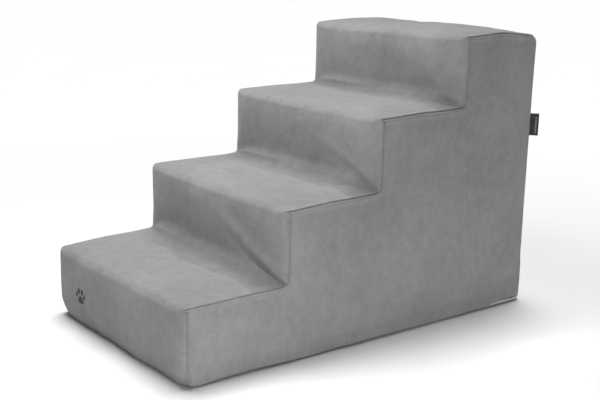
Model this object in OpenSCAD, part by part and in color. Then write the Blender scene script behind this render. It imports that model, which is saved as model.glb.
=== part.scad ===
// Four-step foam pet stairs with a removable zipped cover.
// X is the width, +Y is the way up the steps and +Z is up. The origin is on the floor, under the centre.

/* [Steps] */
// Height of one step
rise = 120; // [100:1:150]
// Depth of one tread
tread = 180; // [150:1:220]
// Width of the stairs
width = 400; // [320:1:480]

/* [Cover] */
// Thickness of the cover fabric
fabric_t = 2; // [1.5:0.1:2.5]
// Radius of the cover over each nosing
nosing_r = 12; // [8:1:20]
// Radius of the cover where a tread meets the next riser
inner_r = 10; // [6:1:16]
// Radius of the cover over the top back edge
back_top_r = 14; // [10:1:20]
// Radius of the two upright back corners
corner_r = 18; // [14:1:24]
// Thickness of the anti-slip base panel
base_t = 2.8; // [2:0.1:3.5]

/* [Foam] */
// Gap between the foam and the cover
foam_gap = 0.5; // [0.4:0.1:1]
// Depth of the foam's relief behind the zip
relief_depth = 10; // [8:1:14]
// Height of the foam's relief behind the zip
relief_h = 22; // [20:1:30]

/* [Zip] */
// Distance from the front of the stairs to the front ends of the zip
zip_start = 320; // [280:1:340]
// Height of the middle of the zip above the floor
zip_z = 7.5; // [7.4:0.1:8]
// Thickness of the zip tape
tape_t = 0.5; // [0.4:0.1:0.6]
// Radius of one coil
coil_r = 0.8; // [0.7:0.05:0.8]
// Gap between the two coils
coil_gap = 1.4; // [1.3:0.1:1.5]
// Length of the slider body
slider_l = 9.5; // [9:0.5:12]
// Length of the pull tab
pull_l = 20; // [16:1:28]

/* [Labels] */
// Height of the side label
label_h = 39; // [30:1:50]
// How far the side label stands out of its seam
label_out = 14; // [10:1:18]
// Height of the side label's middle above the floor
label_z = 321.5; // [300:0.5:330]
// Width of the printed paw on the front
paw_w = 34; // [24:1:44]

/* [Hidden] */
$fn = 64;

fabric_color = [0.62, 0.62, 0.61];
zip_color = [0.70, 0.70, 0.69];
foam_color = [0.93, 0.91, 0.82];

steps = 4;
length = steps * tread;
height = steps * rise;
front_y = -length / 2;
back_y = length / 2;
far = 2 * length;

// Foam
foam_inset = fabric_t + foam_gap;
foam_side_inset = 3;
foam_floor = base_t + 0.7;
relief_y = front_y + zip_start - 30;

// Zip: it is sewn to the inner face of the cover, so its plan outline is the cover's inner face
zip_inset = fabric_t;
zip_y = front_y + zip_start;
coil_z = coil_gap / 2 + coil_r;
coil_seat = 0.6;
coil_top = coil_seat + coil_r;
tape_lead = 12;
tape_top = 20;
tape_flange = 9;
panel_edge_z = zip_z + 4.2;
panel_ramp = 20;
panel_ramp_y = zip_y - 5;
stop_l = 2.5;
stop_gap = 1;

// Slider: s runs along the zip, n out of the cover and w up the cover, all from its middle
slider_y = zip_y + stop_l + stop_gap + slider_l / 2;
plate_w = 3.8;
flange_w = 2.6;
flange_n = 0.3;
plate_n = [coil_top + 0.5, coil_top + 1.7];
under_n = [-tape_t - 1.4, -tape_t - 0.3];
neck_s = [2.6, 4.2];
neck_w = 0.35;
bridge_s = 2.2;
bridge_w = 0.8;
bridge_n = plate_n[1] + 2.3;
eye_s = 1.2;
eye_n = plate_n[1] + 1.8;
pin_n = plate_n[1] + 0.95;
pin_r = 0.5;
pull_w = 4.5;
pull_t = 1.1;
pull_slot_l = 4.5;
pull_slot_w = 1.3;

// Labels
label_t = 0.6;
label_root = 2.3;
care_size = [30, 0.25, 50];
care_at = [-150, back_y - foam_inset + 0.1, 40];
print_t = 0.3;
paw_at = [-111, 51];

// ---- Outlines ----

// Height of tread i, where 0 is the floor
function tread_z(i) = i * rise;
// Where the riser below tread i + 1 stands
function riser_y(i) = front_y + i * tread;

// A rectangle given by two opposite corners
module box_2d(a, b) {
    translate(a) square(b - a);
}

// A box given by two opposite corners
module box_3d(a, b) {
    translate(a) cube(b - a);
}

// One step's column in the Y-Z plane, drawn in by d, with its nosing rounded
module step_column_2d(i, d) {
    r = nosing_r - d;
    centre = [riser_y(i) + nosing_r, tread_z(i + 1) - nosing_r];
    box_2d([riser_y(i) + d, 0], [back_y - d, centre[1]]);
    box_2d([centre[0], 0], [back_y - d, tread_z(i + 1) - d]);
    translate(centre) circle(r);
}

// The web that bridges the corner between tread i and the riser behind it
module inner_web_2d(i, d) {
    corner = [riser_y(i), tread_z(i)];
    centre = corner + [-inner_r, inner_r];
    difference() {
        box_2d([centre[0], corner[1] - d - 1], [corner[0] + d + 1, centre[1]]);
        translate(centre) circle(inner_r + d);
    }
}

// What the rounded top back edge takes off
module back_edge_cut_2d(d) {
    centre = [back_y - back_top_r, height - back_top_r];
    difference() {
        box_2d(centre, centre + [back_top_r + 1, back_top_r + 1]);
        translate(centre) circle(back_top_r - d);
    }
}

// The whole stair outline in the Y-Z plane, drawn in by d
module stair_2d(d) {
    difference() {
        union() {
            for (i = [0 : steps - 1]) step_column_2d(i, d);
            for (i = [1 : steps - 1]) inner_web_2d(i, d);
        }
        back_edge_cut_2d(d);
    }
}

// Extrudes a Y-Z outline across the width, from x0 to x1
module across(x0, x1) {
    translate([x0, 0, 0]) rotate([90, 0, 90]) linear_extrude(x1 - x0) children();
}

// The plan outline drawn in by d, with rounded back corners and its front edge at y0
module plan_2d(d, y0) {
    half = width / 2;
    cx = half - corner_r;
    cy = back_y - corner_r;
    box_2d([-half + d, y0], [half - d, cy]);
    box_2d([-cx, y0], [cx, back_y - d]);
    for (x = [-cx, cx]) {
        translate([x, cy]) circle(corner_r - d);
    }
}

// The band between the plan outlines drawn in by d0 and d1, open at its front end
module plan_band_2d(d0, d1, y0) {
    difference() {
        plan_2d(d0, y0);
        plan_2d(d1, y0 - 10);
    }
}

// The same band standing from z0 to z1
module plan_band(d0, d1, z0, z1, y0) {
    translate([0, 0, z0]) linear_extrude(z1 - z0) plan_band_2d(d0, d1, y0);
}

// The plan area of the right side panel, which ends halfway round the back corner
module side_zone_2d() {
    cx = width / 2 - corner_r;
    cy = back_y - corner_r;
    polygon([[cx, cy], [cx, -far], [cx + far, -far], [cx + far, cy + far]]);
}

// ---- Foam ----

// Slab i of the stack: a board as long as what stands on it, with a rounded nosing
module foam_board(i) {
    low = i == 0 ? foam_floor : tread_z(i) - foam_inset;
    intersection() {
        across(-width, width) difference() {
            step_column_2d(i, foam_inset);
            box_2d([front_y, -1], [back_y, low]);
            if (i == steps - 1) back_edge_cut_2d(foam_inset);
        }
        linear_extrude(height) plan_2d(foam_side_inset, front_y - 1);
    }
}

module foam_slab(i) {
    color(foam_color) foam_board(i);
}

// The lowest slab is relieved behind the zip
module foam_slab_with_relief() {
    color(foam_color) difference() {
        foam_board(0);
        plan_band(-1, relief_depth, 0, relief_h, relief_y);
    }
}

// ---- Cover ----

// The right side panel's plan, with spare outside its outer face when it is used as a cutter
module side_plan_2d(spare = 0) {
    intersection() {
        plan_band_2d(-spare, fabric_t, front_y - spare);
        side_zone_2d();
    }
}

// All that lies outside the step strip on the right: the side panel's plan and what is beyond it
module side_cutter_2d() {
    side_plan_2d(1);
    difference() {
        box_2d([0, front_y - 2], [2 * width, back_y + 1]);
        plan_2d(0, front_y - 3);
    }
}

// The right side panel before its lower edge is trimmed
module side_blank() {
    intersection() {
        linear_extrude(height) side_plan_2d();
        across(0, width) stair_2d(0);
        box_3d([0, front_y, base_t], [width, back_y, height]);
    }
}

// The space below the side panel's lower edge, which climbs to clear the zip
module zip_window() {
    across(-width, width) polygon([
        [panel_ramp_y - panel_ramp, base_t - 1],
        [panel_ramp_y - panel_ramp, base_t],
        [panel_ramp_y, panel_edge_z],
        [back_y + 1, panel_edge_z],
        [back_y + 1, base_t - 1]
    ]);
}

// The side label lies in the seam, halfway round the right back corner
module side_label_at(t) {
    translate([width / 2 - corner_r, back_y - corner_r, label_z - label_h / 2]) rotate([0, 0, 45])
        box_3d([corner_r - label_root, -t / 2, 0], [corner_r + label_out, t / 2, label_h]);
}

module side_panel_right() {
    color(fabric_color) difference() {
        side_blank();
        zip_window();
        side_label_at(label_t);
    }
}

module side_panel_left() {
    color(fabric_color) mirror([1, 0, 0]) difference() {
        side_blank();
        zip_window();
    }
}

// One strip runs up every riser and over every tread, and turns down over the top back edge
module step_strip() {
    color(fabric_color) difference() {
        across(-width, width) difference() {
            stair_2d(0);
            stair_2d(fabric_t);
            box_2d([back_y - back_top_r, -1], [back_y + 1, height - back_top_r]);
            box_2d([front_y - 1, -1], [back_y + 1, base_t]);
        }
        linear_extrude(height + 1) side_cutter_2d();
        mirror([1, 0, 0]) linear_extrude(height + 1) side_cutter_2d();
    }
}

module back_panel() {
    color(fabric_color) difference() {
        plan_band(0, fabric_t, panel_edge_z, height - back_top_r, back_y - 2 * corner_r);
        linear_extrude(height) side_zone_2d();
        mirror([1, 0, 0]) linear_extrude(height) side_zone_2d();
        side_label_at(label_t);
    }
}

module base_panel() {
    color([0.40, 0.40, 0.41]) linear_extrude(base_t) plan_2d(0, front_y);
}

// ---- Zip ----

// Each coil is a round bead with a flat against its tape
module zip_bead(z) {
    cx = width / 2 - corner_r;
    cy = back_y - corner_r;
    reach = width / 2 - zip_inset + coil_seat;
    turn_r = reach - cx;
    intersection() {
        union() {
            for (x = [-reach, reach]) {
                translate([x, zip_y + stop_l, z]) rotate([-90, 0, 0]) cylinder(r = coil_r, h = cy - zip_y - stop_l);
            }
            translate([-cx, cy + turn_r, z]) rotate([0, 90, 0]) cylinder(r = coil_r, h = 2 * cx);
            translate([cx, cy, z]) rotate_extrude(angle = 90) translate([turn_r, 0]) circle(coil_r);
            translate([-cx, cy, z]) rotate([0, 0, 90]) rotate_extrude(angle = 90)
                translate([turn_r, 0]) circle(coil_r);
        }
        plan_band(zip_inset - coil_top - 1, zip_inset, z - 2 * coil_r, z + 2 * coil_r, zip_y);
    }
}

module zip_coil_upper() {
    color(zip_color) zip_bead(zip_z + coil_z);
}

module zip_coil_lower() {
    color(zip_color) zip_bead(zip_z - coil_z);
}

module zip_tape_upper() {
    color(zip_color) plan_band(zip_inset, zip_inset + tape_t, zip_z + coil_gap / 2, tape_top, zip_y - tape_lead);
}

// The lower tape turns in under the foam, where it is sewn to the base
module zip_tape_lower() {
    color(zip_color) {
        plan_band(zip_inset, zip_inset + tape_t, base_t, zip_z - coil_gap / 2, zip_y - tape_lead);
        plan_band(zip_inset, zip_inset + tape_flange, base_t, base_t + tape_t, zip_y - tape_lead);
    }
}

// A stop from w0 to w1 across the zip, at the front end of the left run
module stop_clip(w0, w1) {
    box_3d([-width / 2 + zip_inset - coil_top, zip_y, zip_z + w0],
        [-width / 2 + zip_inset, zip_y + stop_l, zip_z + w1]);
}

module zip_top_stops() {
    color("silver") {
        stop_clip(coil_gap / 2, coil_gap / 2 + 2 * coil_r);
        stop_clip(-coil_gap / 2 - 2 * coil_r, -coil_gap / 2);
    }
}

module zip_bottom_stop() {
    color("silver") mirror([1, 0, 0]) stop_clip(-coil_gap / 2 - 2 * coil_r, coil_gap / 2 + 2 * coil_r);
}

// Moves s, n, w shapes to the slider's place: X is -n, Y is s and Z is w
module at_slider() {
    translate([-width / 2 + zip_inset, slider_y, zip_z]) rotate([0, 0, 90]) children();
}

module zip_slider() {
    half = slider_l / 2;
    color("silver") at_slider() difference() {
        union() {
            box_3d([-half, plate_n[0], -plate_w], [half, plate_n[1], plate_w]);
            box_3d([-half, under_n[0], -plate_w], [half, under_n[1], plate_w]);
            box_3d([neck_s[0], under_n[0], -neck_w], [neck_s[1], plate_n[1], neck_w]);
            for (w = [-plate_w, flange_w]) {
                box_3d([-half, flange_n, w], [half, plate_n[1], w + plate_w - flange_w]);
            }
            box_3d([-bridge_s, plate_n[1], -bridge_w], [bridge_s, bridge_n, bridge_w]);
        }
        box_3d([-eye_s, plate_n[1], -bridge_w - 1], [eye_s, eye_n, bridge_w + 1]);
    }
}

// The pull lies along +Y and turns about an upright pin through the slider's eye
module zip_pull() {
    half = pull_w / 2;
    round_at = pull_l - half;
    color("silver") at_slider() translate([0, pin_n, 0]) {
        rotate([90, 0, 0]) linear_extrude(pull_t, center = true) difference() {
            union() {
                box_2d([0, -half], [round_at, half]);
                translate([round_at, 0]) circle(half);
            }
            box_2d([-1, -pull_slot_w], [pull_slot_l, pull_slot_w]);
        }
        cylinder(r = pin_r, h = pull_w, center = true);
    }
}

// ---- Labels and print ----

module side_label() {
    color([0.08, 0.08, 0.09]) side_label_at(label_t);
}

module care_label() {
    color("white") translate(care_at) cube(care_size);
}

// A paw print of plain discs: one pad of three discs and four toes
module paw_2d(w) {
    for (a = [-35, 35]) {
        translate([w * 0.17 * sin(a) / sin(35), -w * 0.14]) circle(w * 0.16);
    }
    circle(w * 0.2);
    for (a = [-66, -23, 23, 66]) {
        translate([w * 0.42 * sin(a), w * 0.42 * cos(a) - w * 0.02]) circle(w * 0.105);
    }
}

module front_print() {
    color([0.25, 0.25, 0.26]) translate([paw_at[0], front_y, paw_at[1]]) rotate([90, 0, 0])
        linear_extrude(print_t) paw_2d(paw_w);
}

foam_slab_with_relief();  // foam_slab_1
foam_slab(1);  // foam_slab_2
foam_slab(2);  // foam_slab_3
foam_slab(3);  // foam_slab_4
step_strip();
side_panel_left();
side_panel_right();
back_panel();
base_panel();
zip_tape_upper();
zip_tape_lower();
zip_coil_upper();
zip_coil_lower();
zip_top_stops();
zip_bottom_stop();
zip_slider();
zip_pull();
side_label();
care_label();
front_print();
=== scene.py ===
"""Foam pet stairs: the velour cover, base, zip, labels and foam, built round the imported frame.

Lengths are in millimetres until a mesh is made. X is the width, +Y is the way up the steps and +Z is up.
"""

import math

import bpy
import numpy as np
from mathutils import Matrix, Vector


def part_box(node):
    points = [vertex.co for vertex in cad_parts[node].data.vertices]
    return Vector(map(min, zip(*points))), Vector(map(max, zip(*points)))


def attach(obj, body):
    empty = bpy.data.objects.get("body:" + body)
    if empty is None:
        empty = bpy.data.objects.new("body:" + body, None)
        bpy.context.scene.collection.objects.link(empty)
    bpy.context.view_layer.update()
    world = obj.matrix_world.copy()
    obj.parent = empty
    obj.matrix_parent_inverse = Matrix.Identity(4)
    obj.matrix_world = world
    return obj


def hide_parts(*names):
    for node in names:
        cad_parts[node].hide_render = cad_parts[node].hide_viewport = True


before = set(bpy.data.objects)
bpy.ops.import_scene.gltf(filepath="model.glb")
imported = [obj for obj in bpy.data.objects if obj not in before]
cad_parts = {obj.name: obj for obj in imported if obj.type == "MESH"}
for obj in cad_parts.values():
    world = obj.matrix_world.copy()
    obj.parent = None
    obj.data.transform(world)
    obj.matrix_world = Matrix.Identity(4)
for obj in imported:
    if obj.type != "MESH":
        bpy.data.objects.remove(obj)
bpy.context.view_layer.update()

MM = 0.001


def node_box(name):
    """A CAD node's lowest and highest corners, in millimetres."""
    low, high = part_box(name)
    return np.round(np.array(low) / MM, 3), np.round(np.array(high) / MM, 3)


# ---- Driving sizes, from the frame ----

base_low, base_high = node_box("base_panel")
HALF_W, FRONT, BACK = base_high[0], base_low[1], base_high[1]
BASE_T = base_high[2]
STEPS = 4
HEIGHT = node_box("step_strip")[1][2]
RISE, TREAD = HEIGHT / STEPS, (BACK - FRONT) / STEPS
RISERS = [FRONT + i * TREAD for i in range(STEPS)]
LEVELS = [(i + 1) * RISE for i in range(STEPS)]

# The cover's own sizes. First the roundings: of the nosings and inner corners, and of the back's edges
NOSING_R = 12.0
SEAM_NOSE_R = 4.5
SEAM_WEB_R = 7.0
BACK_TOP_R = 14.0
CORNER_R = 18.0
# The last stretch of the top, over which the back's edges begin
SOFT_CORNER = 30.0
CLOTH_T = 1.7
ALLOWANCE = 7.5
PANEL_EDGE = node_box("back_panel")[0][2]
ZIP_FRONT = node_box("zip_coil_upper")[0][1]
WINDOW_RAMP = 20.0
# Two lengths this close are the same: for points picked by their place, and for grid lines
NEAR, TINY = 1e-3, 1e-6


# ---- Small helpers ----


def ramp(low, high, x):
    """0 below low, 1 above high and a smooth rise between."""
    t = np.clip((x - low) / (high - low), 0, 1)
    return t * t * (3 - 2 * t)


def bump(x, centre, width):
    """A smooth hump of height 1."""
    return np.exp(-(((x - centre) / width) ** 2))


def ripples(a, b, seed, wave, count=14):
    """A smooth, seeded, wandering field of about unit height over two coordinates."""
    rng = np.random.default_rng(seed)
    total = np.zeros(np.broadcast(a, b).shape)
    for _ in range(count):
        turn, phase = rng.uniform(0, 2 * math.pi, 2)
        length = wave * rng.uniform(0.7, 1.6)
        total += np.sin((a * math.cos(turn) + b * math.sin(turn)) * 2 * math.pi / length + phase)
    return total / math.sqrt(count / 2)


# How far the grid lines beside a seam or an edge stand from it
CLOSE_LINES = [0, 0.6, 1.2, 1.9, 2.7, 3.3, 3.9, 4.5, 5.3, 6.3, 7.4, 8.4, 10, 12.2, 15, 18, 21.5, 25.5]


def lines(low, high, marks, gap=5.0):
    """Grid lines from low to high, gap apart, and closer beside each (mark, -1, 0 or 1 side)."""
    found = set()
    for mark, side in marks:
        for s in (-1, 1) if side == 0 else (side,):
            found.update(np.round(mark + s * np.array(CLOSE_LINES), 3))
    found = sorted(x for x in found if low - TINY <= x <= high + TINY)
    out = [found[0]]
    for x in found[1:]:
        parts = max(1, math.ceil((x - out[-1]) / gap - TINY))
        out.extend(np.linspace(out[-1], x, parts + 1)[1:])
    return np.array(out)


# ---- The rounded stair outline ----


def rounded(y, z, web_r, nose_r):
    """Moves points of the square stair outline, or inside it, to the rounded one."""
    y, z = np.array(y, float), np.array(z, float)
    corners = [(ry, lz, 1, nose_r) for ry, lz in zip(RISERS, LEVELS)] + [(BACK, HEIGHT, -1, BACK_TOP_R)]
    for corner_y, corner_z, sign, r in corners:
        cy, cz = corner_y + sign * r, corner_z - r
        dy, dz = (cy - y) * sign, z - cz
        inside = (dy > 0) & (dz > 0) & (dy <= r + TINY) & (dz <= r + TINY)
        square, disc = np.maximum(dy, dz), np.hypot(dy, dz)
        k = np.where(inside, square / np.maximum(disc, 1e-9), 1)
        y, z = np.where(inside, cy - sign * dy * k, y), np.where(inside, cz + dz * k, z)
    for ry, lz in zip(RISERS[1:], LEVELS[:-1]):
        cy, cz = ry - web_r, lz + web_r
        dy, dz = y - cy, cz - z
        square, disc = np.maximum(np.maximum(dy, dz), 1e-9), np.maximum(np.hypot(dy, dz), 1e-9)
        near = (dy > 0) & (dz > 0) & (square >= web_r - TINY)
        pull = np.where(near, web_r / disc - web_r / square, 0) * np.exp(-(square - web_r) / 14)
        y, z = y + dy * pull, z - dz * pull
    return y, z


def outline_nodes():
    """The square outline from the front's lower edge, up the steps and down the back."""
    y_marks = [(FRONT, 1), (BACK, -1)] + [(r, 0) for r in RISERS[1:]]
    z_marks = [(0, 1), (HEIGHT, -1)] + [(z, 0) for z in LEVELS[:-1]]
    ys, zs = lines(FRONT, BACK, y_marks), lines(0, HEIGHT, z_marks)
    path = []
    for i in range(STEPS):
        low, left, right = i * RISE, RISERS[i], RISERS[i] + TREAD
        path += [(left, z) for z in zs if low - TINY <= z < LEVELS[i] - TINY]
        path += [(y, LEVELS[i]) for y in ys if left - TINY <= y < right - TINY]
    path += [(BACK, z) for z in zs[::-1]]
    return ys, zs, np.array(path)


YS, ZS, PATH = outline_nodes()
XS = lines(-HALF_W, HALF_W, [(-HALF_W, 1), (HALF_W, -1)])
TOP_BACK = int(np.flatnonzero((PATH[:, 0] > BACK - TINY) & (PATH[:, 1] > HEIGHT - TINY))[0])
ALONG = np.concatenate([[0], np.cumsum(np.hypot(*np.diff(PATH, axis=0).T))])


# ---- Folds and wear of the cover: each gives how far the cloth stands out ----


def fold(x, z, line, height, width):
    """A fold along a line in X and Z: a crease on it, tight at its right end, and a ridge above it."""
    line = np.array(line, float)
    order = np.argsort(line[:, 0])
    lx, lz = line[order].T
    t = np.clip((lx[-1] - x) / (lx[-1] - lx[0]), 0, 1)
    w = width[0] + (width[1] - width[0]) * t
    slope = (lz[0] - lz[-1]) / (lx[-1] - lx[0])
    across = (z - np.interp(x, lx, lz)) / math.hypot(1, slope)
    ridge = bump(across, 1.35 * w, w) * (1 - t) ** 0.8
    crease = bump(across, 0, 0.65 * w) * (1 - t) ** 1.4
    below = 0.35 * bump(across, -1.4 * w, w) * (1 - t)
    fade = ramp(lx[0] - 30, lx[0] + 60, x) * (0.55 + 0.45 * ramp(0, 0.2, t)) * ramp(-2, 9, HALF_W - x)
    return height * (ridge - crease + below) * fade


# Each fold's riser, its line in X and Z, its height, and its width at the right and left ends
FOLDS = [
    (1, [(197, 128), (186, 134), (147, 147), (106, 158), (36, 178), (-20, 194)], 10.0, (5, 13)),
    (2, [(197, 251), (154, 270), (103, 285), (60, 296), (10, 306)], 6.5, (5, 11)),
    (2, [(197, 256), (170, 281), (120, 303), (60, 318)], 1.2, (4, 9)),
    (3, [(197, 365), (145, 372), (103, 380), (40, 392)], 1.5, (5, 9)),
    (3, [(197, 380), (168, 398), (142, 410), (100, 420), (50, 428)], 1.8, (5, 10)),
]


def on_riser(i, y, z):
    return (abs(y - RISERS[i]) < NEAR) & (z >= i * RISE) & (z <= LEVELS[i])


def riser_folds(x, y, z, stands):
    """The folds that run up the risers from the lower right corners; stands is how high a point really is."""
    out = np.zeros(np.broadcast(x, z).shape)
    for riser, line, height, width in FOLDS:
        out += on_riser(riser, y, z) * fold(x, stands, line, height, width)
    return out


# For each tread, how far before the next riser its web begins on the left and on the right, how far it
# stands out, and how far up the riser it goes
WEBS = [(47, 49, 8.0, 46), (26, 60, 9.0, 54), (24, 50, 9.0, 64)]


def webs(x, y, z):
    """Where the cloth leaves the foam and climbs to the next riser."""
    out = np.zeros(np.broadcast(x, y).shape)
    tight = 0.22 + 0.78 * ramp(HALF_W, HALF_W - 50, abs(x))
    for i, (left, right, height, climb) in enumerate(WEBS):
        reach = left + (right - left) * ramp(-150, 110, x)
        on_tread = abs(z - LEVELS[i]) < NEAR
        climbing = (abs(y - RISERS[i + 1]) < NEAR) & (z >= LEVELS[i]) & ~on_tread
        out += height * np.clip(1 - (RISERS[i + 1] - y) / reach, 0, 1) ** 1.25 * tight * on_tread
        out += height * np.clip(1 - (z - LEVELS[i]) / climb, 0, 1) ** 2 * tight * climbing
    return out


# For each tread, how far its right and its left end stand up at the parts LIFT_AT of its length
LIFT_AT = [0.08, 0.5, 1.0]
RIGHT_LIFT = [(3.5, 5.0, 5.5), (1.5, 6.0, 6.5), (4.5, 7.5, 7.0), (3.0, 6.5, 2.5)]
LEFT_LIFT = [(-2.5, 2.5, 4.0), (0, 0.5, 1.0), (-1.0, 0, 0), (-6.0, -3.0, 0)]
BACK_FALL, FALL_REACH = 5.5, 110


def tread_lift(i, t, x):
    """How far tread i stands above its level, t of the way along it."""
    lift = np.interp(t, LIFT_AT, RIGHT_LIFT[i]) * ramp(-120, 190, x)
    return lift + np.interp(t, LIFT_AT, LEFT_LIFT[i]) * ramp(60, -190, x)


def upward(x, y, z):
    """How far the cloth is shifted up: the treads' ends stand up, and the top falls away to the back."""
    out = np.zeros(np.broadcast(x, y).shape)
    for i in range(STEPS):
        t = (y - RISERS[i]) / TREAD
        below = tread_lift(i - 1, 1.0, x) if i else 0 * x
        climb = below + (tread_lift(i, 0, x) - below) * (z - i * RISE) / RISE
        out = np.where(on_riser(i, y, z), climb, out)
        on_tread = (abs(z - LEVELS[i]) < NEAR) & (t >= -TINY) & (t <= 1 + TINY)
        out = np.where(on_tread, tread_lift(i, t, x), out)
    out = out - BACK_FALL * (abs(z - HEIGHT) < NEAR) * ramp(BACK - FALL_REACH, BACK, y)
    on_back = (abs(y - BACK) < NEAR) & (z < HEIGHT - NEAR)
    return np.where(on_back, (tread_lift(STEPS - 1, 1.0, x) - BACK_FALL) * z / HEIGHT, out)


def smooth_along(field, sigma):
    """Evens a field out along the outline over sigma millimetres, so that it turns the corners softly."""
    step = 1.0
    even = np.arange(0, ALONG[-1] + step, step)
    reach = int(4 * sigma / step)
    kernel = np.exp(-0.5 * (np.arange(-reach, reach + 1) * step / sigma) ** 2)
    kernel /= kernel.sum()
    out = np.empty_like(field)
    for j in range(field.shape[1]):
        line = np.pad(np.interp(even, ALONG, field[:, j]), reach, mode="edge")
        out[:, j] = np.interp(ALONG, even, np.convolve(line, kernel, mode="valid"))
    return out


# The small pinches at the right end of the second riser: place in X, lowest and highest Z, and height
PINCHES = [(184, 196, 236, 2.2), (191, 202, 240, -2.4), (176, 208, 240, 1.4)]
# The crease across the first tread: each wave's height, place behind the line, width, and how it fades out
FIRST_CREASE_Y = -237
FIRST_CREASE = [
    (3.0, 7, 5, (-170, -100), (190, 140)),
    (-3.4, -3, 4, (-170, -100), (180, 120)),
    (0.9, -16, 7, (-60, 20), (150, 90)),
]


def band_relief(x, y, z, stands):
    """All that stands out of the band over the steps and the back; stands is how high a point really is."""
    flat_in = ramp(0, 26, HALF_W - abs(x))
    on_tread = np.zeros(np.broadcast(x, y).shape)
    for i in range(STEPS):
        on_tread += (abs(z - LEVELS[i]) < NEAR) & (y >= RISERS[i]) & (y <= RISERS[i] + TREAD)
    on_tread = np.clip(on_tread, 0, 1)
    crown = on_tread * 0.8 * (1 - (x / HALF_W) ** 2)
    crown += (1 - on_tread) * 0.3 * flat_in
    broad = smooth_along(crown, 9) + smooth_along(webs(x, y, z), 8)
    crease = np.zeros(np.broadcast(x, y).shape)
    along = FIRST_CREASE_Y + 3 * np.sin(x / 60)
    on_first = abs(z - LEVELS[0]) < NEAR
    for height, behind, width, left, right in FIRST_CREASE:
        crease += on_first * height * bump(y, along + behind, width) * ramp(*left, x) * ramp(*right, x)
    on_second = abs(y - RISERS[1]) < NEAR
    for cx, low, high, size in PINCHES:
        crease += on_second * size * bump(x, cx + (z - low) * 0.12, 3.0) * bump(z, (low + high) / 2, 15)
    wander = 0.8 * ripples(x, y + z, 3, 120) + 0.3 * ripples(x, y + z, 8, 45)
    return broad + smooth_along(crease + riser_folds(x, y, z, stands), 3) + wander * flat_in


def side_relief(y, z, depth, right):
    """All that stands out of a side panel; depth is how far a point is from the outline."""
    seed = 21 if right else 34
    wander = 1.1 * ripples(y, z, seed, 170) + 0.35 * ripples(y, z * 0.6, seed + 1, 60)
    calm = 1 - ramp(60, 20, z) * ramp(ZIP_FRONT - 70, ZIP_FRONT - 20, y)
    return (wander * (0.3 + 0.7 * ramp(10, 60, depth)) - 0.8) * ramp(3, 16, depth) * calm


def welt(depth, upright):
    """The seam's turned-in allowance, which shows as a low ridge beside an upright seam."""
    ridge = 1.5 * ramp(0, 3.0, depth) * ramp(ALLOWANCE + 2.0, ALLOWANCE - 1.0, depth)
    line = 0.9 * bump(depth, 5.0, 0.8)
    return (ridge - line) * (0.35 + 0.65 * upright)


# The height of the flap's edge along the right side
FLAP_Y = [-345, -290, -120, 20, 270, 296, 335, BACK]
FLAP_Z = [0.5, 4.0, 1.5, 4.4, 4.6, 7.5, 9, 10.7]
FRONT_PLAN_R = 34
FRONT_TUCK = 8


def settle(p):
    """Shapes the whole cover near the floor: the front tucks under and the lower edge follows the zip."""
    x, y, z = p.T
    front = ramp(FRONT + 60, FRONT + 10, y)
    y = y + FRONT_TUCK * front * np.clip(1 - z / 30, 0, 1) ** 2
    # The front corners round off in plan towards the floor
    r = FRONT_PLAN_R
    cx, cy = HALF_W - r, FRONT + r
    dx, dy = abs(x) - cx, cy - y
    near = (dx > 0) & (dy > 0)
    square, disc = np.maximum(dx, dy), np.maximum(np.hypot(dx, dy), 1e-9)
    low = np.clip(1 - z / 36, 0, 1) ** 1.6
    k = np.where(near, 1 + (square / disc - 1) * low * ramp(r * 0.4, r * 0.9, square), 1)
    x = np.where(near, np.sign(x) * (cx + dx * k), x)
    y = np.where(near, cy - dy * k, y)
    # The lower edge: a flap hangs over the zip on the right, and the zip lies open on the left and the back
    open_edge = (PANEL_EDGE - 1) * ramp(ZIP_FRONT - 5 - WINDOW_RAMP, ZIP_FRONT - 5, y)
    flap_edge = np.interp(y, FLAP_Y, FLAP_Z)
    right = ramp(HALF_W - 60, HALF_W - 25, x)
    edge = 0.8 + open_edge + (flap_edge - open_edge) * right
    z = z + edge * np.clip(1 - z / 80, 0, 1)
    over_zip = right * ramp(ZIP_FRONT - 40, ZIP_FRONT, y) * ramp(26, 10, z) * ramp(BACK - 10, BACK - 60, y)
    return np.stack([x + 2.2 * over_zip, y, z], axis=1)


# ---- The rounded edges between the band and the side panels ----


def edge_shape(uprightness, node):
    """How far an edge's rounding reaches over the band and down the side, and the seam's angle."""
    # The back's fuller rounding begins on the last stretch of the top, so that the corner is soft
    back = np.where(node > TOP_BACK, 1, ramp(BACK - SOFT_CORNER, BACK, PATH[node, 0]))
    over = (4 + 14 * uprightness) * (1 - back) + CORNER_R * back
    down = (5 + 4 * uprightness) * (1 - back) + CORNER_R * back
    seam = np.radians((42 + 32 * uprightness) * (1 - back) + 45 * back)
    return over, down, seam


def seam_groove(distance, uprightness):
    """How deep the cloth turns in beside a seam: deepest along the treads."""
    return (2.4 - 2.2 * uprightness) * np.clip(1 - distance / (2.1 - 0.5 * uprightness), 0, 1) ** 1.3


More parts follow.
